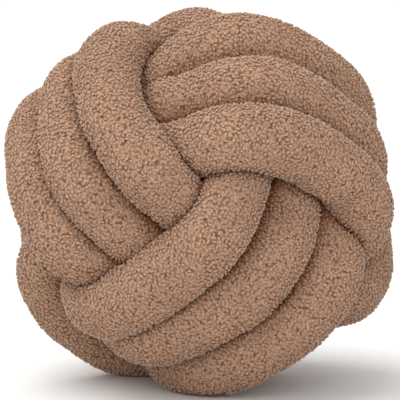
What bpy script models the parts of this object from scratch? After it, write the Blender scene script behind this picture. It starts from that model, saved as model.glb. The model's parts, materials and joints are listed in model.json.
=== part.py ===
"""Knot cushion: one long stuffed tube of curly boucle cloth, tied into a ball.

The tube makes three bands that cross one another at right angles. Each band is three turns
of the tube, side by side. A band lies on top at two opposite faces of the ball and dives
under the next band at the two faces between them, so every face shows three strands. The
tube runs on from one band to the next through the middle of the ball, and its two round
ends are tucked in there.

Metres, +Z up. The origin is on the floor under the middle of the ball.
"""

import math
from collections import namedtuple

import bmesh
import bpy
import numpy as np
from mathutils import Euler

MM = 0.001

# The ball
BALL_TURN_DEG = (47.7, 39.7, -85.9)
FLAT_DEPTH = 5 * MM  # how far the ball's own weight has flattened it underneath

# The tube and its bands
TUBE_RADIUS = 25.5 * MM
CROWN_RADIUS = 122.4 * MM  # a band's middle line where it lies on top
DIVE_RADIUS = 82 * MM  # the same where it runs under the next band
BAND_SQUARENESS = 2.82  # 2 is an ellipse, and more has flatter faces and tighter corners
CROWN_PITCH = 47.8 * MM  # from strand to strand where the band lies on top
DIVE_PITCH = 29.3 * MM  # and where it runs under
CROWN_HALF_DEG = 30  # the crown pitch reaches this far to each side of a face's middle
DIVE_HALF_DEG = 5
OUTER_SINK = 0.143  # how much the two outer strands sink to follow the ball's roundness
TURNS = 3
PLACE_CHANGE_DEG = 64  # the stretch in which a turn moves over to the next place

# The passes through the middle of the ball, from one band to the next, and the two tails
LEAVE_DEG = 34  # a band ends this far before the middle of its dive
JOIN_DEG = 36  # and the next one starts this far after the middle of its own
PASS_PULL = 86 * MM  # how strongly a pass keeps the direction it starts and ends with
PASS_MIDDLES = ((-4 * MM, -25 * MM, -21 * MM), (18 * MM, -14 * MM, -29 * MM))
TAIL_PULL = 96 * MM
FIRST_END = (-58 * MM, 46 * MM, -5 * MM)
LAST_END = (-38 * MM, 34 * MM, 44 * MM)

# How the stuffed tube fills the room that its neighbours leave
SEAM_GAP = 1.2 * MM
SQUEEZE = 10  # the higher, the sharper a pressed side meets a round one
BEND_ROOM = 0.85  # the part of a bend's radius that the tube's inner side may take
OWN_REACH = 75 * MM  # nearer than this along the tube, it isn't its own neighbour
FIRM_AREA = 0.86 * math.pi * TUBE_RADIUS**2  # the cross-section that the filling keeps
CORE_AREA = 1.8 * FIRM_AREA  # the most it takes up in the core, pushed into every gap there
CORE_RADIUS = 75 * MM  # the core reaches this far from the ball's centre
BURIED_RADIUS = 100 * MM  # and has no effect from here outwards
SWELLS = (1, 1.1, 1.2, 1.3, 1.4, 1.5, 1.6, 1.7, 1.85, 2, 2.2, 2.4)  # growths to choose from
SWELL_SOFTENING = 7  # route points over which the swelling is evened out

# The most that a strand may swell on its outer side, by how far its middle line is from the
# knot's middle: much in the core, little where it dives under the next band, some on top.
Growth = namedtuple("Growth", "distance_mm most")
GROWTHS = (
    Growth(80, 2.4),
    Growth(92, 1.3),
    Growth(104, 1.0),
    Growth(114, 1.03),
    Growth(124, 1.13),
    Growth(150, 1.2),
)

# The mesh
BAND_POINTS = 3000
BRIDGE_POINTS = 200
ROUTE_STEP = 5 * MM
SIDES = 14
STRAIGHT_STEPS = 5  # route steps from ring to ring on a straight stretch
TIGHT_STEPS = 3
TIGHT_BEND = 50 * MM

CLOTH_COLOUR = (0.371, 0.220, 0.141, 1.0)
CLOTH_ROUGHNESS = 0.95

# The first band's long axis is X, the second's Y and the third's Z. Each band starts and
# ends at one of its dives, and steps through its three places as it turns.
Band = namedtuple("Band", "axis start_deg direction first_place place_step")
BANDS = (
    Band(0, -90, +1, +1, -1),
    Band(1, -90, +1, -1, +1),
    Band(2, +90, -1, -1, +1),
)

# How each strand departs from an even knot where it lies on top, in millimetres: aside
# shifts it across the band, slant turns it, and lift raises it out of the ball.
Strand = namedtuple("Strand", "band face place aside slant lift")
STRANDS = (
    Strand(0, +1, +1, 0, -1, -9),
    Strand(0, +1, 0, 4, -13, -3),
    Strand(0, +1, -1, 2, -12, 5),
    Strand(1, +1, +1, 5, 4, 2),
    Strand(1, +1, 0, 6, -1, 3),
    Strand(1, +1, -1, 0, 2, 1),
    Strand(2, +1, +1, -14, 7, 9),
    Strand(2, +1, 0, -7, -3, 4),
    Strand(2, +1, -1, -2, 2, 3),
    Strand(0, -1, +1, 3, -3, 0),
    Strand(0, -1, 0, -2, 3, 1),
    Strand(0, -1, -1, 1, 2, -2),
    Strand(1, -1, +1, -5, -7, 8),
    Strand(1, -1, 0, 1, -4, 0),
    Strand(1, -1, -1, 2, 1, -1),
    Strand(2, -1, +1, 2, -6, 10),
    Strand(2, -1, 0, 1, -2, 2),
    Strand(2, -1, -1, -2, 1, -3),
)


def smooth_step(value):
    """0 before 0, 1 after 1, and a smooth rise between."""
    value = np.clip(value, 0, 1)
    return value * value * (3 - 2 * value)


def unit(vectors):
    return vectors / np.linalg.norm(vectors, axis=-1, keepdims=True)


def places_along(band, turned):
    """A band's place, from -1 to 1, after it has turned through these angles."""
    changed = sum(
        smooth_step((turned - 2 * math.pi * turn) / math.radians(PLACE_CHANGE_DEG) + 0.5)
        for turn in range(1, TURNS)
    )
    return band.first_place + band.place_step * changed


def departures(band, angles, places):
    """The strand rows' aside, slant and lift for each point of a band, in metres."""
    found = np.zeros((len(angles), 3))
    for row in STRANDS:
        if BANDS[row.band] is band:
            here = (np.sign(np.cos(angles)) == row.face) & (np.round(places) == row.place)
            found[here] = (row.aside * MM, row.slant * MM, row.lift * MM)
    return found.T


def band_points(band, turned):
    """The tube's middle line in a band, in the knot's own axes."""
    angles = math.radians(band.start_deg) + band.direction * turned
    places = places_along(band, turned)
    along = np.abs(np.cos(angles))
    across = np.abs(np.sin(angles))
    crown = along**1.5
    dive_end = math.sin(math.radians(DIVE_HALF_DEG))
    crown_end = math.cos(math.radians(CROWN_HALF_DEG))
    spread = smooth_step((along - dive_end) / (crown_end - dive_end))
    aside, slant, lift = departures(band, angles, places)
    sunk = OUTER_SINK * (places * CROWN_PITCH) ** 2
    long_half = np.sqrt(CROWN_RADIUS**2 - sunk) + lift * crown
    power = BAND_SQUARENESS
    reach = ((along / long_half) ** power + (across / DIVE_RADIUS) ** power) ** (-1 / power)
    points = np.empty((len(turned), 3))
    points[:, band.axis] = reach * np.cos(angles)
    points[:, (band.axis + 1) % 3] = reach * np.sin(angles)
    points[:, (band.axis + 2) % 3] = (
        places * (DIVE_PITCH + (CROWN_PITCH - DIVE_PITCH) * spread)
        + (aside + 2 * slant * np.sin(angles)) * crown
    )
    return points


def band_side(band):
    """The direction across a band that makes travel x side point out of the ball."""
    side = np.zeros(3)
    side[(band.axis + 2) % 3] = band.direction
    return side


def bridge(start, start_way, end, end_way):
    """A smooth curve between two points, with the given ways out of and into them."""
    t = np.linspace(0, 1, BRIDGE_POINTS)[:, None]
    return (
        (2 * t**3 - 3 * t**2 + 1) * start
        + (t**3 - 2 * t**2 + t) * start_way
        + (3 * t**2 - 2 * t**3) * end
        + (t**3 - t**2) * end_way
    )


def passage(before, after, middle):
    """The way through the ball from one band's last points to the next band's first."""
    start_way = unit(before[-1] - before[-2]) * PASS_PULL
    end_way = unit(after[1] - after[0]) * PASS_PULL
    middle_way = unit(after[0] - before[-1]) * PASS_PULL
    first_half = bridge(before[-1], start_way, middle, middle_way)
    second_half = bridge(middle, middle_way, after[0], end_way)
    return np.concatenate([first_half[1:], second_half[1:-1]])


def tail(inner_end, band_end, band_way):
    """From a tucked-in end to the point where the tube joins its band, band_way onwards."""
    start_way = unit(band_end - inner_end) * TAIL_PULL
    return bridge(inner_end, start_way, band_end, band_way * TAIL_PULL)[:-1]


def tube_route():
    """The whole middle line and its side directions, from end to end at even steps."""
    turned = np.linspace(
        math.radians(JOIN_DEG), 2 * math.pi * TURNS - math.radians(LEAVE_DEG), BAND_POINTS
    )
    bands = [band_points(band, turned) for band in BANDS]
    sides = [band_side(band) for band in BANDS]
    last = bands[-1]
    points = [tail(np.array(FIRST_END), bands[0][0], unit(bands[0][1] - bands[0][0]))]
    across = [np.tile(sides[0], (len(points[0]), 1))]
    for index, band in enumerate(bands):
        points.append(band)
        across.append(np.tile(sides[index], (len(band), 1)))
        if band is not last:
            through = passage(band, bands[index + 1], np.array(PASS_MIDDLES[index]))
            turning = smooth_step(np.linspace(0, 1, len(through)))[:, None]
            points.append(through)
            across.append(sides[index] * (1 - turning) + sides[index + 1] * turning)
    points.append(tail(np.array(LAST_END), last[-1], unit(last[-2] - last[-1]))[::-1])
    across.append(np.tile(sides[-1], (len(points[-1]), 1)))
    points = np.concatenate(points)
    across = np.concatenate(across)
    length = np.concatenate([[0], np.cumsum(np.linalg.norm(np.diff(points, axis=0), axis=1))])
    even = np.linspace(0, length[-1], int(length[-1] / ROUTE_STEP) + 1)
    points = np.stack([np.interp(even, length, points[:, axis]) for axis in range(3)], 1)
    across = np.stack([np.interp(even, length, across[:, axis]) for axis in range(3)], 1)
    return even, points, across


def bends_of(even, travel):
    """The curvature vector of the middle line, pointing to the inner side of each bend."""
    bends = np.gradient(travel, even, axis=0)
    soften = np.array((0.25, 0.5, 0.25))
    return np.stack([np.convolve(bends[:, axis], soften, "same") for axis in range(3)], 1)


def neighbour_reach(index, even, points, ways):
    """How far each way goes before it meets the seam with the nearest other strand."""
    others = points[np.abs(even - even[index]) > OWN_REACH]
    apart = others - points[index]
    gap = np.linalg.norm(apart, axis=-1)
    toward = np.maximum(ways @ apart.T, 1e-6)
    return (gap * (gap - SEAM_GAP) / (2 * toward)).min(-1)


def bend_reach(bend, ways):
    """How far each way goes before the inner side of a bend would fold."""
    return BEND_ROOM / np.maximum(ways @ bend, 1e-6)


def pressed(radius, limits):
    """The reach of a round tube of this radius, pressed in softly by its limits."""
    return sum(each**-SQUEEZE for each in (radius, *limits)) ** (-1 / SQUEEZE)


def area_of(reach):
    return 0.5 * math.sin(2 * math.pi / SIDES) * (reach * np.roll(reach, 1, -1)).sum(-1)


def swelling(point, limits):
    """How much wider than its own radius the tube swells to keep its cross-section's area."""
    areas = [area_of(pressed(TUBE_RADIUS * swell, limits)) for swell in SWELLS]
    depth = (BURIED_RADIUS - np.linalg.norm(point)) / (BURIED_RADIUS - CORE_RADIUS)
    kept = FIRM_AREA + (CORE_AREA - FIRM_AREA) * smooth_step(depth)
    return np.interp(kept, np.maximum.accumulate(areas), SWELLS)


def most_growth(points):
    """How much wider than its own radius the tube may be on its outer side, at each point."""
    distances = np.linalg.norm(points, axis=-1) / MM
    return np.interp(distances, [row.distance_mm for row in GROWTHS], [row.most for row in GROWTHS])


def growth_each_way(swells, points, ways):
    """How much wider than its own radius the tube is, each way: inwards it is free to swell."""
    shown = np.minimum(swells, most_growth(points))[:, None]
    inward = smooth_step(-(ways * unit(points)[:, None, :]).sum(-1))
    return shown + (swells[:, None] - shown) * inward


def end_rounding(even):
    """0 at the tube's two ends and 1 from a radius further in, along a quarter circle."""
    inward = np.clip(np.minimum(even, even[-1] - even) / TUBE_RADIUS, 0, 1)
    return np.sqrt(1 - (1 - inward) ** 2)


def ring_steps(bends):
    """Which points of the route get a ring: closer together in bends and at the ends."""
    tightness = np.clip(np.linalg.norm(bends, axis=1) * TIGHT_BEND, 0, 1)
    spacing = STRAIGHT_STEPS + (TIGHT_STEPS - STRAIGHT_STEPS) * tightness
    last = len(bends) - 1
    chosen = [0, 1, 2]
    while chosen[-1] + STRAIGHT_STEPS < last - 1:
        chosen.append(chosen[-1] + int(round(spacing[chosen[-1]])))
    return chosen + [last - 1, last]


def tube_rings():
    """The tube's rings of skin points, in the knot's own axes, with a pole at each end.

    A ring takes the smallest reach between the rings before and after it, so that the flat
    faces between them stay clear of the strands that cross there.
    """
    even, points, across = tube_route()
    travel = unit(np.gradient(points, axis=0))
    side = unit(across - (across * travel).sum(-1, keepdims=True) * travel)
    outward = np.cross(travel, side)
    bends = bends_of(even, travel)
    angles = np.arange(SIDES)[:, None] * 2 * math.pi / SIDES
    ways = np.cos(angles) * outward[:, None, :] + np.sin(angles) * side[:, None, :]
    limits = [
        (neighbour_reach(index, even, points, ways[index]), bend_reach(bends[index], ways[index]))
        for index in range(len(even))
    ]
    swells = [swelling(point, limit) for point, limit in zip(points, limits)]
    swells = np.pad(swells, SWELL_SOFTENING // 2, "edge")
    swells = np.convolve(swells, np.ones(SWELL_SOFTENING) / SWELL_SOFTENING, "valid")
    growths = growth_each_way(swells, points, ways)
    reach = [pressed(TUBE_RADIUS * growth, limit) for growth, limit in zip(growths, limits)]
    reach = np.array(reach)
    chosen = ring_steps(bends)
    before = [chosen[0]] + chosen[:-1]
    after = chosen[1:] + [chosen[-1]]
    kept = [reach[low : high + 1].min(0) for low, high in zip(before, after)]
    kept = np.array(kept) * end_rounding(even)[chosen, None]
    return points[chosen, None, :] + kept[:, :, None] * ways[chosen]


def rested(rings):
    """Turns the ball as it lies, sinks it into the floor a little and centres it."""
    turn = Euler([math.radians(angle) for angle in BALL_TURN_DEG]).to_matrix()
    rings = rings @ np.array(turn).T
    rings[..., 2] -= rings[..., 2].min() + FLAT_DEPTH
    middle = (rings.min((0, 1)) + rings.max((0, 1))) / 2
    rings[..., :2] -= middle[:2]
    return rings


def flatten_underneath(shell):
    """Cuts off what is below the floor and closes each cut with a flat face."""
    everything = list(shell.verts) + list(shell.edges) + list(shell.faces)
    cut = bmesh.ops.bisect_plane(
        shell, geom=everything, dist=1e-6, plane_co=(0, 0, 0), plane_no=(0, 0, 1), clear_inner=True
    )
    rims = [thing for thing in cut["geom_cut"] if isinstance(thing, bmesh.types.BMEdge)]
    for edge in rims:
        for corner in edge.verts:
            corner.co.z = 0
    bmesh.ops.edgeloop_fill(shell, edges=rims)


def tube_mesh(name, rings):
    """One closed skin from the rings: rows of quads, a fan at each end, and the flat spot."""
    shell = bmesh.new()
    first = shell.verts.new(rings[0, 0])
    loops = [[shell.verts.new(point) for point in ring] for ring in rings[1:-1]]
    last = shell.verts.new(rings[-1, 0])
    for side in range(SIDES):
        after = (side + 1) % SIDES
        shell.faces.new((first, loops[0][after], loops[0][side]))
        for near, far in zip(loops, loops[1:]):
            shell.faces.new((near[side], near[after], far[after], far[side]))
        shell.faces.new((last, loops[-1][side], loops[-1][after]))
    flatten_underneath(shell)
    bmesh.ops.recalc_face_normals(shell, faces=shell.faces)
    mesh = bpy.data.meshes.new(name)
    shell.to_mesh(mesh)
    shell.free()
    mesh.shade_smooth()
    return mesh


def cloth_material():
    material = bpy.data.materials.new("boucle_cloth")
    material.use_nodes = True
    shader = material.node_tree.nodes["Principled BSDF"]
    shader.inputs["Base Color"].default_value = CLOTH_COLOUR
    shader.inputs["Roughness"].default_value = CLOTH_ROUGHNESS
    shader.inputs["Metallic"].default_value = 0
    return material


def main():
    for thing in list(bpy.data.objects):
        bpy.data.objects.remove(thing)
    mesh = tube_mesh("knotted_tube", rested(tube_rings()))
    mesh.materials.append(cloth_material())
    tube = bpy.data.objects.new("knotted_tube", mesh)
    bpy.context.scene.collection.objects.link(tube)


main()
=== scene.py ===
"""Looks of the knot cushion: its long stuffed tube, the curls of its boucle cloth, and the stage.

The tube follows the same formulas as the solid, at a finer step and a pile's height further
in, so that the tops of the curls lie where the solid's skin is. The curls are short bent
lengths of yarn, strewn over every part of the cloth that can be seen.

Metres, +Z up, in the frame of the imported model.
"""

import json
import math
from collections import namedtuple

import bpy
import numpy as np
from bpy.props import FloatProperty, FloatVectorProperty, IntProperty, PointerProperty
from mathutils import Euler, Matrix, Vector
from mathutils.bvhtree import BVHTree

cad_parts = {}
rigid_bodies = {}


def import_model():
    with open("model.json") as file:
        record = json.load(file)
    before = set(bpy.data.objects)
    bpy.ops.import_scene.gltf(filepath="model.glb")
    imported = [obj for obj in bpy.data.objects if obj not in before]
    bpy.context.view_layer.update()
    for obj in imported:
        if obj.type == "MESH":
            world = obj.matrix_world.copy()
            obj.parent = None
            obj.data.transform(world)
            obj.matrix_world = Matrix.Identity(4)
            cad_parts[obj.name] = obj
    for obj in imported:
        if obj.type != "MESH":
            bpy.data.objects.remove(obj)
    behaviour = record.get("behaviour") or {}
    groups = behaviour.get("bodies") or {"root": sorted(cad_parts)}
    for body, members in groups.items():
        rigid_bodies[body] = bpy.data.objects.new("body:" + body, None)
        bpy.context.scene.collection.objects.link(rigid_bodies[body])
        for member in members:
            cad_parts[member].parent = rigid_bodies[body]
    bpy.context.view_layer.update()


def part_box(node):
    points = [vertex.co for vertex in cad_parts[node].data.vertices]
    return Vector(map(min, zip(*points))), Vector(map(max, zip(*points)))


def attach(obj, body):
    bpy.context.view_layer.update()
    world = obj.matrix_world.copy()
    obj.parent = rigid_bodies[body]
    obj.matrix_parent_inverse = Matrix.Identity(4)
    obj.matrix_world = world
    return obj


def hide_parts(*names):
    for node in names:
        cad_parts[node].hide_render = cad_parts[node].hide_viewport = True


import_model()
TUBE_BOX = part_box("knotted_tube")

bl_info = {
    "name": "Knot cushion",
    "version": (1, 0, 0),
    "blender": (4, 5, 0),
    "location": "View3D > Sidebar > Knot cushion",
    "description": "Makes a ball knotted from a stuffed boucle tube, with its stage",
    "category": "Add Mesh",
}

MM = 0.001
BODY = "root"

# The knot, as in the solid
BALL_TURN_DEG = (47.7, 39.7, -85.9)
TUBE_RADIUS = 25.5 * MM
CROWN_RADIUS = 122.4 * MM  # a band's middle line where it lies on top
DIVE_RADIUS = 82 * MM  # the same where it runs under the next band
BAND_SQUARENESS = 2.82  # 2 is an ellipse, and more has flatter faces and tighter corners
CROWN_PITCH = 47.8 * MM  # from strand to strand where the band lies on top
DIVE_PITCH = 29.3 * MM  # and where it runs under
CROWN_HALF_DEG = 30  # the crown pitch reaches this far to each side of a face's middle
DIVE_HALF_DEG = 5
CROWN_FADE = 1.5  # how soon a strand's departures fade as it leaves the top
OUTER_SINK = 0.143  # how much the two outer strands sink to follow the ball's roundness
TURNS = 3
PLACE_CHANGE_DEG = 64  # the stretch in which a turn moves over to the next place
LEAVE_DEG = 34  # a band ends this far before the middle of its dive
JOIN_DEG = 36  # and the next one starts this far after the middle of its own
PASS_PULL = 86 * MM  # how strongly a pass keeps the direction it starts and ends with
PASS_MIDDLES = ((-4 * MM, -25 * MM, -21 * MM), (18 * MM, -14 * MM, -29 * MM))
TAIL_PULL = 96 * MM
FIRST_END = (-58 * MM, 46 * MM, -5 * MM)
LAST_END = (-38 * MM, 34 * MM, 44 * MM)

# How the stuffed tube fills the room that its neighbours leave
SQUEEZE = 10  # the higher, the sharper a pressed side meets a round one
BEND_ROOM = 0.85  # the part of a bend's radius that the tube's inner side may take
OWN_REACH = 75 * MM  # nearer than this along the tube, it isn't its own neighbour
FIRM_AREA = 0.86 * math.pi * TUBE_RADIUS**2  # the cross-section that the filling keeps
CORE_AREA = 1.8 * FIRM_AREA  # the most it takes up in the core, pushed into every gap there
CORE_RADIUS = 75 * MM  # the core reaches this far from the ball's centre
BURIED_RADIUS = 100 * MM  # and has no effect from here outwards
SWELLS = (1, 1.1, 1.2, 1.3, 1.4, 1.5, 1.6, 1.7, 1.85, 2, 2.2, 2.4)  # growths to choose from
SWELL_SOFTENING = 35 * MM  # the stretch over which the swelling is evened out
BEND_SOFTENING = (0.25, 0.5, 0.25)
LEAST_FACING = 1e-6  # so that nothing is divided by 0 where a way meets no neighbour or bend

# The most that a strand may swell on its outer side, by how far its middle line is from the
# knot's middle: much in the core, little where it dives under the next band, some on top.
Growth = namedtuple("Growth", "distance_mm most")
GROWTHS = (
    Growth(80, 2.4),
    Growth(92, 1.3),
    Growth(104, 1.0),
    Growth(114, 1.03),
    Growth(124, 1.13),
    Growth(150, 1.2),
)

# The fine mesh of the cloth
BAND_POINTS = 3000
BRIDGE_POINTS = 200
ROUTE_STEP = 5 * MM
SIDES = 32
FLOOR_CLEARANCE = 0.3 * MM
SKY_WAYS = 40  # the directions in which each point looks out for the sky
SKY_START = 1.5 * MM  # it looks from this far outside the cloth
SKY_REACH = 300 * MM  # and this far
SKY_SOFTENING = 2  # times that each point is evened out with its neighbours
HIDDEN_RADIUS = 85 * MM  # nearer the ball's middle than this, nothing is ever seen

# Slow unevenness of the stuffing: each wave has a direction, a length and an offset
Wave = namedtuple("Wave", "x y z length_mm offset_deg")
WAVES = (
    Wave(1, 2, 1, 61, 20),
    Wave(-2, 1, 1, 47, 130),
    Wave(1, -1, 2, 38, 250),
    Wave(2, 1, -2, 33, 70),
)

# The curls of the boucle. Each is a short yarn with round ends: an arc of this many degrees,
# lying flat or standing, with its middle at this height above the backing, and its two ends
# lower by this drop.
Curl = namedtuple("Curl", "name arc_deg radius_mm standing height_mm drop_mm")
CURLS = (
    Curl("hook", 190, 0.95, False, 0.85, 0.45),
    Curl("bean", 75, 1.45, False, 0.95, 0.65),
    Curl("ring", 270, 0.80, False, 0.75, 0.3),
    Curl("crook", 130, 1.10, False, 1.0, 0.7),
    Curl("arch", 200, 0.85, True, 0.2, 0.0),
)
CURL_SIDES = 4
CURL_TURN_DEG = 45  # a flat side of the yarn looks up, not an edge
CURL_STATIONS = (0.14, 0.5, 0.86)  # its rings, as parts of its length
CAP_REACH = 0.8  # how far its round ends reach past the last rings, in radii of the yarn
ROOTS_TRIED = 600000.0  # for each square metre of cloth, before the spacing thins them
PIECE_COUNT = 5  # the curls are kept in this many pieces along the tube
PIECE_SEED_STEP = 10  # how far apart the seeds of two pieces are

# The photograph's view
VIEW_CENTRE = (-2.1 * MM, -1.8 * MM, 143.3 * MM)  # the middle of the knot
VIEW_DISTANCE = 1.727
VIEW_ELEVATION_DEG = 5
VIEW_LENS = 200.3
VIEW_SENSOR = 36
PHOTO_SIDE = 400
PHOTO_KNOT_X = 199.9  # the middle of the knot in the photograph, in its pixels
PHOTO_KNOT_Y = 199.6
PHOTO_SCALE = 1.288 / MM  # pixels for each metre at the middle of the knot

# The finishes, as settings of the main shader
MATT_CLOTH = {"Roughness": 0.95, "Specular IOR Level": 0.05}
YARN_FUZZ = {"Sheen Weight": 0.5, "Sheen Roughness": 0.4, "Sheen Tint": (1, 0.91, 0.83, 1)}
MATT_FLOOR = {"Roughness": 0.9, "Specular IOR Level": 0.1}

# The patterns of the cloth, with scales for each metre of it, and the relief that they give
FIBRES = {"Scale": 1900.0, "Detail": 2.0}
FIBRE_RELIEF = {"Strength": 0.6, "Distance": 0.35 * MM}
WORN_PATCHES = {"Scale": 26.0, "Detail": 3.0}
LOOPS = {"Scale": 520.0}
LOOP_RELIEF = {"Strength": 0.8, "Distance": 0.8 * MM}
MIDDLE_YARN_STOP = 0.42  # the middle yarn's place between the dark one and the light one
CLOTH_SHARE = 0.5  # how far the fuzz makes a curl catch the light as the cloth under it would

# How a measure of the cloth, from start to end, sets the share of a colour, from first to last
Span = namedtuple("Span", "start end first last")
WORN_SPAN = Span(0.3, 0.7, 0.9, 1.08)  # patches a few centimetres wide, more or less worn
FIBRE_SPAN = Span(0.25, 0.75, 0.8, 1.15)  # the fibres of the yarn
FOOT_SHADE_SPAN = Span(0.0, 0.9, 0.78, 1.0)  # painted shade: the foot of a curl takes on the dark colour of shade in the gaps
LOOP_EDGE_SHADE_SPAN = Span(0.2, 0.7, 1.0, 0.08)  # painted shade: the edge of a loop takes on the same dark colour of shade in the gaps
CREASE_SHADE_SPAN = Span(0.0, 0.5, 0.0, 1.0)  # painted shade: cloth that sees little sky takes the redder, darker crease colour

# The stage
FLOOR_HALF = 200  # metres, so that its edge is as far as the horizon
FLOOR_CORNERS = ((-1, -1), (1, -1), (1, 1), (-1, 1))

# The soft lights, each as far away as the sun, so that the whole floor is evenly lit. A share
# is of their strength together, and a light at side 90 stands on the right of the view.
Lamp = namedtuple("Lamp", "name share height_deg side_deg")
LAMPS = (
    Lamp("front_light", 0.4, 12, 0),
    Lamp("top_light", 0.6, 66, -85),
)

# The first band's long axis is X, the second's Y and the third's Z. Each band starts and
# ends at one of its dives, and steps through its three places as it turns.
Band = namedtuple("Band", "axis start_deg direction first_place place_step")
BANDS = (
    Band(0, -90, +1, +1, -1),
    Band(1, -90, +1, -1, +1),
    Band(2, +90, -1, -1, +1),
)

# How each strand departs from an even knot where it lies on top, in millimetres: aside
# shifts it across the band, slant turns it, and lift raises it out of the ball.
Strand = namedtuple("Strand", "band face place aside slant lift")
STRANDS = (
    Strand(0, +1, +1, 0, -1, -9),
    Strand(0, +1, 0, 4, -13, -3),
    Strand(0, +1, -1, 2, -12, 5),
    Strand(1, +1, +1, 5, 4, 2),
    Strand(1, +1, 0, 6, -1, 3),
    Strand(1, +1, -1, 0, 2, 1),
    Strand(2, +1, +1, -14, 7, 9),
    Strand(2, +1, 0, -7, -3, 4),
    Strand(2, +1, -1, -2, 2, 3),
    Strand(0, -1, +1, 3, -3, 0),
    Strand(0, -1, 0, -2, 3, 1),
    Strand(0, -1, -1, 1, 2, -2),
    Strand(1, -1, +1, -5, -7, 8),
    Strand(1, -1, 0, 1, -4, 0),
    Strand(1, -1, -1, 2, 1, -1),
    Strand(2, -1, +1, 2, -6, 10),
    Strand(2, -1, 0, 1, -2, 2),
    Strand(2, -1, -1, -2, 1, -3),
)


# Sizes and colours that a user would change


class ClothSizes(bpy.types.PropertyGroup):
    """How thickly the cloth lies on the tube, and how even the stuffing is"""

    pile_height: FloatProperty(
        name="Pile height",
        description="How far the cloth's backing lies inside the tops of its curls",
        default=1.8 * MM,
        min=0,
        unit="LENGTH",
    )
    crease_gap: FloatProperty(
        name="Crease gap",
        description="Room between the backings of two strands that press on each other",
        default=1.8 * MM,
        min=0,
        unit="LENGTH",
    )
    unevenness: FloatProperty(
        name="Unevenness",
        description="How far the stuffing makes the skin swell and sink",
        default=0.8 * MM,
        min=0,
        unit="LENGTH",
    )


class CurlSizes(bpy.types.PropertyGroup):
    """How large the curls are, and where they are strewn"""

    spacing: FloatProperty(
        name="Spacing",
        description="Least distance between the roots of two curls",
        default=2.65 * MM,
        min=1 * MM,
        unit="LENGTH",
    )
    yarn_radius: FloatProperty(
        name="Yarn radius",
        description="Half the thickness of the curled yarn",
        default=0.98 * MM,
        min=0.1 * MM,
        unit="LENGTH",
    )
    size_spread: FloatProperty(
        name="Size spread",
        description="How much larger or smaller than the middle size a curl may be",
        default=0.22,
        min=0,
        max=0.9,
        subtype="FACTOR",
    )
    lean: FloatProperty(
        name="Lean",
        description="The most that a curl leans away from lying flat",
        default=math.radians(32),
        min=0,
        subtype="ANGLE",
    )
    least_sky: FloatProperty(
        name="Least sky",
        description="The part of the sky that the cloth must see for curls to be made on it",
        default=0.05,
        min=0,
        max=1,
        subtype="FACTOR",
    )
    lowest: FloatProperty(
        name="Lowest",
        description="Nearer the floor than this, the cloth rests on it and bears no curls",
        default=3.2 * MM,
        min=0,
        unit="LENGTH",
    )
    seed: IntProperty(
        name="Seed",
        description="Chooses another strewing of the curls",
        default=7,
    )


class ClothColours(bpy.types.PropertyGroup):
    """The colours of the yarn and of its ground, and the painted shade between the curls and in
    the creases
    """

    light_yarn: FloatVectorProperty(
        name="Light yarn",
        description="The palest of the curls",
        default=(0.47, 0.30, 0.21),
        size=3,
        subtype="COLOR",
    )
    middle_yarn: FloatVectorProperty(
        name="Middle yarn",
        description="Most of the curls",
        default=(0.45, 0.28, 0.19),
        size=3,
        subtype="COLOR",
    )
    dark_yarn: FloatVectorProperty(
        name="Dark yarn",
        description="The deepest of the curls",
        default=(0.425, 0.26, 0.173),
        size=3,
        subtype="COLOR",
    )
    # Painted shade: the dark colour given to the feet of the curls and the edges of the loops,
    # where shade falls
    gap_shade: FloatVectorProperty(
        name="Gaps",
        description="Colour deep between the curls",
        default=(0.13, 0.054, 0.026),
        size=3,
        subtype="COLOR",
    )
    # Painted shade: the redder, darker colour given to cloth that sees little sky, deep in the
    # creases
    crease_shade: FloatVectorProperty(
        name="Crease",
        description="The cloth deep in the creases",
        default=(0.43, 0.18, 0.08),
        size=3,
        subtype="COLOR",
    )
    backing: FloatVectorProperty(
        name="Backing",
        description="The knitted ground between the curls",
        default=(0.49, 0.305, 0.208),
        size=3,
        subtype="COLOR",
    )


class StageLooks(bpy.types.PropertyGroup):
    """The floor, the sky and the lights"""

    floor_colour: FloatVectorProperty(
        name="Floor colour",
        description="The plain pale floor",
        default=(0.86, 0.86, 0.85),
        size=3,
        subtype="COLOR",
    )
    sky_strength: FloatProperty(
        name="Sky strength",
        description="Brightness of the even white light from all sides",
        default=0.75,
        min=0,
    )
    backdrop_strength: FloatProperty(
        name="Backdrop strength",
        description="Brightness of the white backdrop behind the cushion",
        default=1.05,
        min=0,
    )
    light_strength: FloatProperty(
        name="Light strength",
        description="Strength of the soft lights together, in watts per square metre",
        default=3.45,
        min=0,
    )
    light_softness: FloatProperty(
        name="Light softness",
        description="How wide each soft light is, seen from the cushion",
        default=math.radians(60),
        subtype="ANGLE",
    )


# The route of the tube


def smooth_step(value):
    """0 before 0, 1 after 1, and a smooth rise between."""
    value = np.clip(value, 0, 1)
    return value * value * (3 - 2 * value)


def unit(vectors):
    """These vectors, each made one long."""
    return vectors / np.linalg.norm(vectors, axis=-1, keepdims=True)


def places_along(band, turned):
    """A band's place, from -1 to 1, after it has turned through these angles."""
    changed = sum(
        smooth_step((turned - 2 * math.pi * turn) / math.radians(PLACE_CHANGE_DEG) + 0.5)
        for turn in range(1, TURNS)
    )
    return band.first_place + band.place_step * changed


def departures(band, angles, places):
    """The strand rows' aside, slant and lift for each point of a band, in metres."""
    found = np.zeros((len(angles), 3))
    for row in STRANDS:
        if BANDS[row.band] is band:
            here = (np.sign(np.cos(angles)) == row.face) & (np.round(places) == row.place)
            found[here] = (row.aside * MM, row.slant * MM, row.lift * MM)
    return found.T


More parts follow.
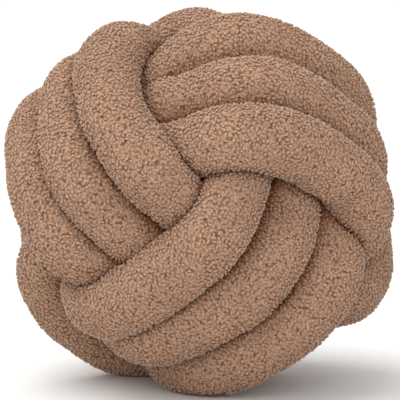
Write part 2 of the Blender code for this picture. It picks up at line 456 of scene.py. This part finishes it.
def band_points(band, turned):
    """The tube's middle line in a band, in the knot's own axes."""
    angles = math.radians(band.start_deg) + band.direction * turned
    places = places_along(band, turned)
    along = np.abs(np.cos(angles))
    across = np.abs(np.sin(angles))
    crown = along**CROWN_FADE
    dive_end = math.sin(math.radians(DIVE_HALF_DEG))
    crown_end = math.cos(math.radians(CROWN_HALF_DEG))
    spread = smooth_step((along - dive_end) / (crown_end - dive_end))
    aside, slant, lift = departures(band, angles, places)
    sunk = OUTER_SINK * (places * CROWN_PITCH) ** 2
    long_half = np.sqrt(CROWN_RADIUS**2 - sunk) + lift * crown
    power = BAND_SQUARENESS
    reach = ((along / long_half) ** power + (across / DIVE_RADIUS) ** power) ** (-1 / power)
    points = np.empty((len(turned), 3))
    points[:, band.axis] = reach * np.cos(angles)
    points[:, (band.axis + 1) % 3] = reach * np.sin(angles)
    points[:, (band.axis + 2) % 3] = (
        places * (DIVE_PITCH + (CROWN_PITCH - DIVE_PITCH) * spread)
        + (aside + 2 * slant * np.sin(angles)) * crown
    )
    return points


def band_side(band):
    """The direction across a band that makes travel x side point out of the ball."""
    side = np.zeros(3)
    side[(band.axis + 2) % 3] = band.direction
    return side


def bridge(start, start_way, end, end_way):
    """A smooth curve between two points, with the given ways out of and into them."""
    part = np.linspace(0, 1, BRIDGE_POINTS)[:, None]
    return (
        (2 * part**3 - 3 * part**2 + 1) * start
        + (part**3 - 2 * part**2 + part) * start_way
        + (3 * part**2 - 2 * part**3) * end
        + (part**3 - part**2) * end_way
    )


def passage(before, after, middle):
    """The way through the ball from one band's last points to the next band's first."""
    start_way = unit(before[-1] - before[-2]) * PASS_PULL
    end_way = unit(after[1] - after[0]) * PASS_PULL
    middle_way = unit(after[0] - before[-1]) * PASS_PULL
    first_half = bridge(before[-1], start_way, middle, middle_way)
    second_half = bridge(middle, middle_way, after[0], end_way)
    return np.concatenate([first_half[1:], second_half[1:-1]])


def tail(inner_end, band_end, band_way):
    """From a tucked-in end to the point where the tube joins its band, band_way onwards."""
    start_way = unit(band_end - inner_end) * TAIL_PULL
    return bridge(inner_end, start_way, band_end, band_way * TAIL_PULL)[:-1]


def tube_route():
    """The whole middle line and its side directions, from end to end at even steps."""
    turned = np.linspace(
        math.radians(JOIN_DEG), 2 * math.pi * TURNS - math.radians(LEAVE_DEG), BAND_POINTS
    )
    bands = [band_points(band, turned) for band in BANDS]
    sides = [band_side(band) for band in BANDS]
    last = bands[-1]
    points = [tail(np.array(FIRST_END), bands[0][0], unit(bands[0][1] - bands[0][0]))]
    across = [np.tile(sides[0], (len(points[0]), 1))]
    for index, band in enumerate(bands):
        points.append(band)
        across.append(np.tile(sides[index], (len(band), 1)))
        if band is not last:
            through = passage(band, bands[index + 1], np.array(PASS_MIDDLES[index]))
            turning = smooth_step(np.linspace(0, 1, len(through)))[:, None]
            points.append(through)
            across.append(sides[index] * (1 - turning) + sides[index + 1] * turning)
    points.append(tail(np.array(LAST_END), last[-1], unit(last[-2] - last[-1]))[::-1])
    across.append(np.tile(sides[-1], (len(points[-1]), 1)))
    points = np.concatenate(points)
    across = np.concatenate(across)
    length = np.concatenate([[0], np.cumsum(np.linalg.norm(np.diff(points, axis=0), axis=1))])
    even = np.linspace(0, length[-1], int(length[-1] / ROUTE_STEP) + 1)
    points = np.stack([np.interp(even, length, points[:, axis]) for axis in range(3)], 1)
    across = np.stack([np.interp(even, length, across[:, axis]) for axis in range(3)], 1)
    return even, points, across


# The skin of the tube


def bends_of(even, travel):
    """The curvature vector of the middle line, pointing to the inner side of each bend."""
    bends = np.gradient(travel, even, axis=0)
    bends = [np.convolve(bends[:, axis], BEND_SOFTENING, "same") for axis in range(3)]
    return np.stack(bends, 1)


def neighbour_reach(index, even, points, ways, gap):
    """How far each way goes before it meets the seam with the nearest other strand."""
    others = points[np.abs(even - even[index]) > OWN_REACH]
    apart = others - points[index]
    distance = np.linalg.norm(apart, axis=-1)
    toward = np.maximum(ways @ apart.T, LEAST_FACING)
    return (distance * (distance - gap) / (2 * toward)).min(-1)


def bend_reach(bend, ways):
    """How far each way goes before the inner side of a bend would fold."""
    return BEND_ROOM / np.maximum(ways @ bend, LEAST_FACING)


def pressed(radius, limits):
    """The reach of a round tube of this radius, pressed in softly by its limits."""
    return sum(each**-SQUEEZE for each in (radius, *limits)) ** (-1 / SQUEEZE)


def area_of(reach):
    """The area of a section whose skin is this far out, each way round it."""
    return 0.5 * math.sin(2 * math.pi / SIDES) * (reach * np.roll(reach, 1, -1)).sum(-1)


def swelling(point, limits):
    """How much wider than its own radius the tube swells to keep its cross-section's area."""
    areas = [area_of(pressed(TUBE_RADIUS * swell, limits)) for swell in SWELLS]
    depth = (BURIED_RADIUS - np.linalg.norm(point)) / (BURIED_RADIUS - CORE_RADIUS)
    kept = FIRM_AREA + (CORE_AREA - FIRM_AREA) * smooth_step(depth)
    return np.interp(kept, np.maximum.accumulate(areas), SWELLS)


def most_growth(points):
    """How much wider than its own radius the tube may be on its outer side, at each point."""
    distances = np.linalg.norm(points, axis=-1) / MM
    return np.interp(distances, *zip(*GROWTHS))


def growth_each_way(swells, points, ways):
    """How much wider than its own radius the tube is, each way: inwards it is free to swell."""
    shown = np.minimum(swells, most_growth(points))[:, None]
    inward = smooth_step(-(ways * unit(points)[:, None, :]).sum(-1))
    return shown + (swells[:, None] - shown) * inward


def end_rounding(even):
    """0 at the tube's two ends and 1 from a radius further in, along a quarter circle."""
    inward = np.clip(np.minimum(even, even[-1] - even) / TUBE_RADIUS, 0, 1)
    return np.sqrt(1 - (1 - inward) ** 2)


def unevenness(points, most):
    """How far the stuffing pushes the skin out or in at these points."""
    height = np.zeros(points.shape[:-1])
    for wave in WAVES:
        way = unit(np.array((wave.x, wave.y, wave.z), float))
        phase = 2 * math.pi * (points @ way) / (wave.length_mm * MM)
        height += np.sin(phase + math.radians(wave.offset_deg))
    return height * most / len(WAVES)


def tube_rings(sizes):
    """The cloth's rings of backing points in the knot's own axes, and how far along each is."""
    even, points, across = tube_route()
    travel = unit(np.gradient(points, axis=0))
    side = unit(across - (across * travel).sum(-1, keepdims=True) * travel)
    outward = np.cross(travel, side)
    bends = bends_of(even, travel)
    angles = np.arange(SIDES)[:, None] * 2 * math.pi / SIDES
    ways = np.cos(angles) * outward[:, None, :] + np.sin(angles) * side[:, None, :]
    limits = [
        (
            neighbour_reach(index, even, points, ways[index], sizes.crease_gap),
            bend_reach(bends[index], ways[index]),
        )
        for index in range(len(even))
    ]
    softening = int(SWELL_SOFTENING / ROUTE_STEP)
    swells = [swelling(point, limit) for point, limit in zip(points, limits)]
    swells = np.pad(swells, softening // 2, "edge")
    swells = np.convolve(swells, np.ones(softening) / softening, "valid")
    growths = growth_each_way(swells, points, ways)
    reach = np.array(
        [
            pressed(TUBE_RADIUS * growth - sizes.pile_height, limit)
            for growth, limit in zip(growths, limits)
        ]
    )
    skin = points[:, None, :] + reach[..., None] * ways
    reach += unevenness(skin, sizes.unevenness)
    reach *= end_rounding(even)[:, None]
    return points[:, None, :] + reach[..., None] * ways, even


def rested(rings, pile_height):
    """Turns the ball as it lies and sets it where the solid is, with a flat spot below."""
    turn = Euler([math.radians(angle) for angle in BALL_TURN_DEG]).to_matrix()
    rings = rings @ np.array(turn).T
    low, high = (np.array(corner) for corner in TUBE_BOX)
    rings[..., :2] += (low + high)[:2] / 2 - (rings.min((0, 1)) + rings.max((0, 1)))[:2] / 2
    rings[..., 2] += high[2] - pile_height - rings[..., 2].max()
    rings[..., 2] = np.maximum(rings[..., 2], low[2] + FLOOR_CLEARANCE)
    return rings


def ring_faces(count, sides):
    """Faces over a first pole, rings of points and a last pole, pointing outwards."""
    faces = []
    last_pole = 1 + (count - 2) * sides
    for side in range(sides):
        after = (side + 1) % sides
        faces.append((0, 1 + side, 1 + after))
        for ring in range(count - 3):
            near = 1 + ring * sides
            far = near + sides
            faces.append((near + side, far + side, far + after, near + after))
        end = last_pole - sides
        faces.append((last_pole, end + after, end + side))
    return faces


def sky_seen(mesh):
    """How open each point of the mesh is: the part of all that it faces that nothing hides."""
    points = np.empty(len(mesh.vertices) * 3)
    mesh.vertices.foreach_get("co", points)
    points = points.reshape(-1, 3)
    normals = np.array([vertex.normal for vertex in mesh.vertices])
    tree = BVHTree.FromPolygons(points, [tuple(face.vertices) for face in mesh.polygons])
    steps = np.arange(SKY_WAYS) + 0.5
    height = 1 - 2 * steps / SKY_WAYS
    turn = steps * math.pi * (3 - math.sqrt(5))  # the golden angle, which spreads them evenly
    flat = np.sqrt(1 - height**2)
    ways = np.stack([flat * np.cos(turn), flat * np.sin(turn), height], 1)
    seen = np.zeros(len(points))
    middle = np.array(VIEW_CENTRE)
    for index in np.flatnonzero(np.linalg.norm(points - middle, axis=1) > HIDDEN_RADIUS):
        facing = ways @ normals[index]
        start = Vector(points[index] + normals[index] * SKY_START)
        open_part = sum(
            cosine
            for way, cosine in zip(ways, facing)
            if cosine > 0 and tree.ray_cast(start, way, SKY_REACH)[0] is None
        )
        seen[index] = open_part / facing[facing > 0].sum()
    return seen


def softened(values, count, sides):
    """Values at rings of points, evened out with their neighbours. The poles keep theirs."""
    grid = values[1:-1].reshape(count - 2, sides)
    for _ in range(SKY_SOFTENING):
        grid = (np.roll(grid, 1, 1) + 2 * grid + np.roll(grid, -1, 1)) / 4
        padded = np.pad(grid, ((1, 1), (0, 0)), "edge")
        grid = (padded[:-2] + 2 * padded[1:-1] + padded[2:]) / 4
    return np.concatenate([values[:1], grid.ravel(), values[-1:]])


def tube_mesh(sizes):
    """The cloth's backing as one closed mesh, with how far along and how open each point is."""
    rings, even = tube_rings(sizes)
    rings = rested(rings, sizes.pile_height)
    count = len(rings)
    points = np.concatenate([rings[:1, 0], rings[1:-1].reshape(-1, 3), rings[-1:, 0]])
    mesh = bpy.data.meshes.new("boucle_tube")
    mesh.from_pydata(points.tolist(), [], ring_faces(count, SIDES))
    mesh.shade_smooth()
    along = np.concatenate([even[:1], np.repeat(even[1:-1], SIDES), even[-1:]])
    seen = softened(sky_seen(mesh), count, SIDES)
    for name, values in (("along", along), ("sky", seen)):
        attribute = mesh.attributes.new(name, "FLOAT", "POINT")
        attribute.data.foreach_set("value", values.astype(np.float32))
    return mesh


# The curls


def curl_line(curl, part):
    """A point of a curl's middle line and the way it runs there, part of its length along."""
    angle = math.radians(curl.arc_deg) * (part - 0.5)
    radius = curl.radius_mm * MM
    flat = Vector((radius * math.sin(angle), radius * math.cos(angle), 0))
    way = Vector((math.cos(angle), -math.sin(angle), 0))
    height = (curl.height_mm - curl.drop_mm * (2 * part - 1) ** 2) * MM
    if curl.standing:
        return Vector((flat.x, 0, flat.y + height)), Vector((way.x, 0, way.y))
    # A flat curl lies round its root, not beside it
    flat.y -= radius * math.cos(math.radians(curl.arc_deg) / 4)
    flat.z = height
    return flat, way


def curl_mesh(curl, yarn_radius):
    """One curl: a round-ended yarn along its middle line, with few faces."""
    out_of_plane = Vector((0, 1, 0)) if curl.standing else Vector((0, 0, 1))
    first, first_way = curl_line(curl, CURL_STATIONS[0])
    last, last_way = curl_line(curl, CURL_STATIONS[-1])
    cap = CAP_REACH * yarn_radius
    points = [first - first_way * cap]
    for part in CURL_STATIONS:
        middle, way = curl_line(curl, part)
        aside = out_of_plane.cross(way)
        for side in range(CURL_SIDES):
            angle = 2 * math.pi * side / CURL_SIDES + math.radians(CURL_TURN_DEG)
            points.append(
                middle + (out_of_plane * math.cos(angle) + aside * math.sin(angle)) * yarn_radius
            )
    points.append(last + last_way * cap)
    mesh = bpy.data.meshes.new("curl_" + curl.name)
    mesh.from_pydata(points, [], ring_faces(len(CURL_STATIONS) + 2, CURL_SIDES))
    heights = [point.z for point in points]
    rise = mesh.attributes.new("rise", "FLOAT", "POINT")
    rise.data.foreach_set("value", [height / max(heights) for height in heights])
    mesh.shade_smooth()
    return mesh


class NodeWriter:
    """Adds nodes to a tree and links them, with inputs given as values or as sockets."""

    def __init__(self, tree):
        self.tree = tree

    def add(self, kind, inputs=None, **settings):
        """A new node with these settings, which come first, and these inputs."""
        node = self.tree.nodes.new(kind)
        for name, value in settings.items():
            setattr(node, name, value)
        for name, value in (inputs or {}).items():
            socket = self.socket(node, name)
            if isinstance(value, bpy.types.NodeSocket):
                self.tree.links.new(value, socket)
            else:
                socket.default_value = value
        return node

    def socket(self, node, name):
        """The enabled input with this name, or this number."""
        if isinstance(name, int):
            return node.inputs[name]
        return next(each for each in node.inputs if each.name == name and each.enabled)

    def out(self, node, name=None):
        """The enabled output with this name, or the first enabled one."""
        return next(
            each for each in node.outputs if each.enabled and name in (None, each.name)
        )

    def math(self, operation, first, second):
        """What this operation makes of two numbers."""
        node = self.add("ShaderNodeMath", {0: first, 1: second}, operation=operation)
        return self.out(node)

    def random(self, kind, low, high, seed):
        """A random number for each point or curl, no lower than low and no higher than high."""
        node = self.add(
            "FunctionNodeRandomValue", {"Min": low, "Max": high, "Seed": seed}, data_type=kind
        )
        return self.out(node)

    def turned(self, rotation, angles):
        """This rotation, turned further about its own axes."""
        euler = self.out(self.add("ShaderNodeCombineXYZ", angles))
        turn = self.out(self.add("FunctionNodeEulerToRotation", {"Euler": euler}))
        inputs = {"Rotation": rotation, "Rotate By": turn}
        return self.out(self.add("FunctionNodeRotateRotation", inputs, rotation_space="LOCAL"))

    def spanned(self, value, span, **settings):
        """The share of the colour that a span gives for this value."""
        inputs = {
            "Value": value,
            "From Min": span.start,
            "From Max": span.end,
            "To Min": span.first,
            "To Max": span.last,
        }
        return self.out(self.add("ShaderNodeMapRange", inputs, **settings))

    def surface_value(self, name, output="Fac"):
        """What the mesh holds under this name, in a material."""
        return self.out(self.add("ShaderNodeAttribute", attribute_name=name), output)

    def point_value(self, name):
        """What the mesh holds under this name, in Geometry Nodes."""
        node = self.add("GeometryNodeInputNamedAttribute", {"Name": name}, data_type="FLOAT")
        return self.out(node, "Attribute")


def curl_tree():
    """Geometry Nodes that strew curls over the open part of a mesh, between two lengths."""
    tree = bpy.data.node_groups.new("strewn_curls", "GeometryNodeTree")
    tree.is_modifier = True
    make = tree.interface.new_socket
    make("Geometry", in_out="INPUT", socket_type="NodeSocketGeometry")
    make("Geometry", in_out="OUTPUT", socket_type="NodeSocketGeometry")
    make("Curls", in_out="INPUT", socket_type="NodeSocketCollection")
    make("Yarn", in_out="INPUT", socket_type="NodeSocketMaterial")
    for name in ("From", "To", "Spacing", "Size Spread", "Lean", "Least Sky", "Lowest"):
        make(name, in_out="INPUT", socket_type="NodeSocketFloat")
    make("Seed", in_out="INPUT", socket_type="NodeSocketInt")

    write = NodeWriter(tree)
    given = write.add("NodeGroupInput").outputs
    purposes = ("place", "spin", "lean", "tip", "shape", "size")
    seeds = {
        purpose: write.math("ADD", given["Seed"], number)
        for number, purpose in enumerate(purposes)
    }
    roots = write.add(
        "GeometryNodeDistributePointsOnFaces",
        {
            "Mesh": given["Geometry"],
            "Selection": open_cloth(write, given),
            "Distance Min": given["Spacing"],
            "Density Max": ROOTS_TRIED,
            "Seed": seeds["place"],
        },
        distribute_method="POISSON",
    )
    shapes = write.add(
        "GeometryNodeCollectionInfo",
        {"Collection": given["Curls"], "Separate Children": True, "Reset Children": True},
    )
    least_lean = write.math("MULTIPLY", given["Lean"], -1.0)
    smallest = write.math("SUBTRACT", 1.0, given["Size Spread"])
    largest = write.math("ADD", 1.0, given["Size Spread"])
    turned = write.out(roots, "Rotation")
    for angles in (
        {"Z": write.random("FLOAT", 0.0, 2 * math.pi, seeds["spin"])},
        {
            "X": write.random("FLOAT", least_lean, given["Lean"], seeds["lean"]),
            "Y": write.random("FLOAT", least_lean, given["Lean"], seeds["tip"]),
        },
    ):
        turned = write.turned(turned, angles)
    placed = write.add(
        "GeometryNodeInstanceOnPoints",
        {
            "Points": write.out(roots, "Points"),
            "Instance": write.out(shapes),
            "Pick Instance": True,
            "Instance Index": write.random("INT", 0, len(CURLS) - 1, seeds["shape"]),
            "Rotation": turned,
            "Scale": write.random("FLOAT", smallest, largest, seeds["size"]),
        },
    )
    for name, kind, value in (
        ("tint", "FLOAT", write.random("FLOAT", 0.0, 1.0, seeds["place"])),
        ("cloth_way", "FLOAT_VECTOR", write.out(roots, "Normal")),
    ):
        placed = write.add(
            "GeometryNodeStoreNamedAttribute",
            {"Geometry": write.out(placed), "Name": name, "Value": value},
            data_type=kind,
            domain="INSTANCE",
        )
    real = write.add("GeometryNodeRealizeInstances", {"Geometry": write.out(placed)})
    coloured = write.add(
        "GeometryNodeSetMaterial", {"Geometry": write.out(real), "Material": given["Yarn"]}
    )
    write.add("NodeGroupOutput", {"Geometry": write.out(coloured)})
    return tree


def open_cloth(write, given):
    """Where the cloth bears curls: in this piece, open to the sky and clear of the floor."""
    along = write.point_value("along")
    place = write.out(write.add("GeometryNodeInputPosition"))
    height = write.out(write.add("ShaderNodeSeparateXYZ", {"Vector": place}), "Z")
    chosen = write.math("GREATER_THAN", along, given["From"])
    for test in (
        write.math("LESS_THAN", along, given["To"]),
        write.math("GREATER_THAN", write.point_value("sky"), given["Least Sky"]),
        write.math("GREATER_THAN", height, given["Lowest"]),
    ):
        chosen = write.math("MULTIPLY", chosen, test)
    return chosen


def made_by_nodes(mesh, tree, values, name):
    """A plain mesh object of what a tree makes of this mesh, with its inputs given by name."""
    ground = linked(mesh, name + "_ground")
    modifier = ground.modifiers.new(tree.name, "NODES")
    modifier.node_group = tree
    for item in tree.interface.items_tree:
        if item.item_type == "SOCKET" and item.in_out == "INPUT" and item.name in values:
            modifier[item.identifier] = values[item.name]
    graph = bpy.context.evaluated_depsgraph_get()
    made = bpy.data.meshes.new_from_object(
        ground.evaluated_get(graph), preserve_all_data_layers=True, depsgraph=graph
    )
    made.name = name
    bpy.data.objects.remove(ground)
    return linked(made, name)


def linked(data, name):
    """An object of this name in the scene."""
    thing = bpy.data.objects.new(name, data)
    bpy.context.scene.collection.objects.link(thing)
    return thing


# Materials


def new_material(name):
    """A material, its main shader, and a writer for the nodes that lead to it."""
    material = bpy.data.materials.new(name)
    material.use_nodes = True
    write = NodeWriter(material.node_tree)
    return material, material.node_tree.nodes["Principled BSDF"], write


def set_sockets(shader, values):
    """Sets a shader's own inputs, given by name."""
    for name, value in values.items():
        shader.inputs[name].default_value = value


def yarn_material(colours):
    """Curled yarn: three browns mixed from curl to curl, with painted shade at the foot and in
    the creases, and fuzzy.
    """
    material, shader, write = new_material("boucle_yarn")
    places = write.out(write.add("ShaderNodeTexCoord"), "Object")
    fibres = write.out(write.add("ShaderNodeTexNoise", {"Vector": places, **FIBRES}), "Fac")
    patches = write.add("ShaderNodeTexNoise", {"Vector": places, **WORN_PATCHES})

    ramp = write.add("ShaderNodeValToRGB", {"Fac": write.surface_value("tint")})
    stops = ramp.color_ramp.elements
    stops[0].color = (*colours.dark_yarn, 1)
    stops[1].color = (*colours.light_yarn, 1)
    stops.new(MIDDLE_YARN_STOP).color = (*colours.middle_yarn, 1)
    # Painted shade: darker towards each curl's foot, and redder where the cloth sees little sky
    share = write.spanned(write.surface_value("rise"), FOOT_SHADE_SPAN)
    coloured = with_painted_shade(write, write.out(ramp, "Color"), share, colours)
    worn = write.spanned(write.out(patches, "Fac"), WORN_SPAN)
    brightness = write.math("MULTIPLY", worn, write.spanned(fibres, FIBRE_SPAN))
    colour = write.add("ShaderNodeVectorMath", {0: coloured, "Scale": brightness}, operation="SCALE")

    relief = write.add("ShaderNodeBump", {"Height": fibres, **FIBRE_RELIEF})
    cloth_way = write.add(
        "ShaderNodeVectorTransform",
        {"Vector": write.surface_value("cloth_way", "Vector")},
        vector_type="NORMAL",
        convert_from="OBJECT",
        convert_to="WORLD",
    )
    mixed = write.add(
        "ShaderNodeMix",
        {"Factor": CLOTH_SHARE, "A": write.out(relief), "B": write.out(cloth_way)},
        data_type="VECTOR",
    )
    facing = write.add("ShaderNodeVectorMath", {0: write.out(mixed)}, operation="NORMALIZE")
    write.tree.links.new(write.out(colour), shader.inputs["Base Color"])
    write.tree.links.new(write.out(facing), shader.inputs["Normal"])
    set_sockets(shader, {**MATT_CLOTH, **YARN_FUZZ})
    return material


def backing_material(colours):
    """The knitted ground between the curls: pale loops, with painted shade in the gaps round
    them.
    """
    material, shader, write = new_material("boucle_backing")
    places = write.out(write.add("ShaderNodeTexCoord"), "Object")
    loops = write.out(
        write.add("ShaderNodeTexVoronoi", {"Vector": places, **LOOPS}, feature="SMOOTH_F1"),
        "Distance",
    )
    # Painted shade at the edge of each loop
    share = write.spanned(loops, LOOP_EDGE_SHADE_SPAN)
    coloured = with_painted_shade(write, (*colours.backing, 1), share, colours)
    relief = write.add("ShaderNodeBump", {"Height": loops, **LOOP_RELIEF}, invert=True)
    write.tree.links.new(coloured, shader.inputs["Base Color"])
    write.tree.links.new(write.out(relief), shader.inputs["Normal"])
    set_sockets(shader, MATT_CLOTH)
    return material


def with_painted_shade(write, colour, share, colours):
    """This share of a cloth colour, with painted shade: redder in the creases, and that of the
    gaps for the rest.
    """
    sky = write.surface_value("sky")
    openness = write.spanned(sky, CREASE_SHADE_SPAN, interpolation_type="SMOOTHSTEP")
    # Paints shade: first the crease colour where the cloth sees little sky, then the shade of the
    # gaps
    for kept, deep in ((openness, colours.crease_shade), (share, colours.gap_shade)):
        mixed = write.add(
            "ShaderNodeMix", {"Factor": kept, "A": (*deep, 1), "B": colour}, data_type="RGBA"
        )
        colour = write.out(mixed, "Result")
    return colour


def floor_material(colour):
    """The plain pale floor, nearly matt."""
    material, shader, _ = new_material("pale_floor")
    set_sockets(shader, {"Base Color": (*colour, 1), **MATT_FLOOR})
    return material


# Operators


class KNOT_OT_add_tube(bpy.types.Operator):
    """Makes the stuffed tube, knotted into a ball, in the backing of its cloth"""

    bl_idname = "knot.add_tube"
    bl_label = "Add the knotted tube"

    def execute(self, context):
        scene = context.scene
        tube = linked(tube_mesh(scene.cloth_sizes), "boucle_tube")
        tube.data.materials.append(backing_material(scene.cloth_colours))
        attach(tube, BODY)
        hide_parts("knotted_tube")
        return {"FINISHED"}


class KNOT_OT_add_curls(bpy.types.Operator):
    """Strews curls of yarn over all of the tube's cloth that can be seen"""

    bl_idname = "knot.add_curls"
    bl_label = "Add the boucle curls"

    def execute(self, context):
        scene = context.scene
        sizes = scene.curl_sizes
        shapes = bpy.data.collections.new("curl_shapes")
        for curl in CURLS:
            mesh = curl_mesh(curl, sizes.yarn_radius)
            shapes.objects.link(bpy.data.objects.new(mesh.name, mesh))
        yarn = yarn_material(scene.cloth_colours)
        tree = curl_tree()
        cloth = bpy.data.objects["boucle_tube"].data
        length = max(item.value for item in cloth.attributes["along"].data)
        for index in range(PIECE_COUNT):
            values = {
                "Curls": shapes,
                "Yarn": yarn,
                "From": length * index / PIECE_COUNT,
                "To": length * (index + 1) / PIECE_COUNT,
                "Spacing": sizes.spacing,
                "Size Spread": sizes.size_spread,
                "Lean": sizes.lean,
                "Least Sky": sizes.least_sky,
                "Lowest": sizes.lowest,
                "Seed": sizes.seed + PIECE_SEED_STEP * index,
            }
            curls = made_by_nodes(cloth, tree, values, f"boucle_curls_{index + 1}")
            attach(curls, BODY)
        for thing in list(shapes.objects):
            bpy.data.objects.remove(thing)
        bpy.data.collections.remove(shapes)
        return {"FINISHED"}


class KNOT_OT_add_stage(bpy.types.Operator):
    """Makes the pale floor, the soft studio light and the photograph's view"""

    bl_idname = "knot.add_stage"
    bl_label = "Add the stage"

    def execute(self, context):
        scene = context.scene
        looks = scene.stage_looks
        mesh = bpy.data.meshes.new("floor")
        corners = [(x * FLOOR_HALF, y * FLOOR_HALF, 0) for x, y in FLOOR_CORNERS]
        mesh.from_pydata(corners, [], [(0, 1, 2, 3)])
        mesh.materials.append(floor_material(looks.floor_colour))
        linked(mesh, "floor")
        scene.world = studio_world(looks)
        for lamp in LAMPS:
            add_light(lamp, looks)
        scene.camera = photo_camera()
        scene.view_settings.view_transform = "Standard"
        return {"FINISHED"}


def studio_world(looks):
    """Even white light from all sides, with a brighter white backdrop where it is looked at."""
    world = bpy.data.worlds.new("even_sky")
    world.use_nodes = True
    write = NodeWriter(world.node_tree)
    sky = world.node_tree.nodes["Background"]
    sky.inputs["Color"].default_value = (1, 1, 1, 1)
    looked_at = write.out(write.add("ShaderNodeLightPath"), "Is Camera Ray")
    strength = write.add(
        "ShaderNodeMapRange",
        {"Value": looked_at, "To Min": looks.sky_strength, "To Max": looks.backdrop_strength},
    )
    world.node_tree.links.new(write.out(strength), sky.inputs["Strength"])
    return world


def aimed(thing, way):
    """Turns a light or camera so that it looks this way."""
    thing.rotation_euler = Vector(way).to_track_quat("-Z", "Y").to_euler()


def add_light(lamp, looks):
    """One soft light, shining down on the cushion from its height and side."""
    light = bpy.data.lights.new(lamp.name, "SUN")
    light.energy = looks.light_strength * lamp.share
    light.angle = looks.light_softness
    height = math.radians(lamp.height_deg)
    side = math.radians(lamp.side_deg)
    flat = math.cos(height)
    way = (-flat * math.sin(side), flat * math.cos(side), -math.sin(height))
    aimed(linked(light, lamp.name), way)


def photo_camera():
    """The photograph's view, with the middle of the knot at its place in the picture."""
    data = bpy.data.cameras.new("photo_view")
    data.sensor_width = VIEW_SENSOR
    data.lens = VIEW_LENS
    camera = linked(data, "photo_view")
    elevation = math.radians(VIEW_ELEVATION_DEG)
    back = Vector((0, -math.cos(elevation), math.sin(elevation)))
    up = Vector((0, math.sin(elevation), math.cos(elevation)))
    right = (PHOTO_SIDE / 2 - PHOTO_KNOT_X) / PHOTO_SCALE
    down = (PHOTO_SIDE / 2 - PHOTO_KNOT_Y) / PHOTO_SCALE
    aim = Vector(VIEW_CENTRE) + Vector((right, 0, 0)) - up * down
    camera.location = aim + back * VIEW_DISTANCE
    aimed(camera, -back)
    return camera


class VIEW3D_PT_knot_cushion(bpy.types.Panel):
    """Lists the cushion's sizes, colours and operators"""

    bl_label = "Knot cushion"
    bl_space_type = "VIEW_3D"
    bl_region_type = "UI"
    bl_category = "Knot cushion"

    def draw(self, context):
        column = self.layout.column()
        for group in GROUPS:
            settings = getattr(context.scene, group)
            for name in settings.bl_rna.properties.keys():
                if name not in ("name", "rna_type"):
                    column.prop(settings, name)
        for operator in OPERATORS:
            column.operator(operator.bl_idname)


GROUPS = {
    "cloth_sizes": ClothSizes,
    "curl_sizes": CurlSizes,
    "cloth_colours": ClothColours,
    "stage_looks": StageLooks,
}
OPERATORS = (KNOT_OT_add_tube, KNOT_OT_add_curls, KNOT_OT_add_stage)


def register():
    """Adds the settings, the operators and the panel to Blender."""
    for group, kind in GROUPS.items():
        bpy.utils.register_class(kind)
        setattr(bpy.types.Scene, group, PointerProperty(type=kind))
    for kind in (*OPERATORS, VIEW3D_PT_knot_cushion):
        bpy.utils.register_class(kind)


def unregister():
    """Takes them out again."""
    for kind in (VIEW3D_PT_knot_cushion, *reversed(OPERATORS)):
        bpy.utils.unregister_class(kind)
    for group, kind in GROUPS.items():
        delattr(bpy.types.Scene, group)
        bpy.utils.unregister_class(kind)


def main():
    """Makes the cushion and its stage."""
    register()
    bpy.ops.knot.add_tube()
    bpy.ops.knot.add_curls()
    bpy.ops.knot.add_stage()


if __name__ == "__main__":
    main()
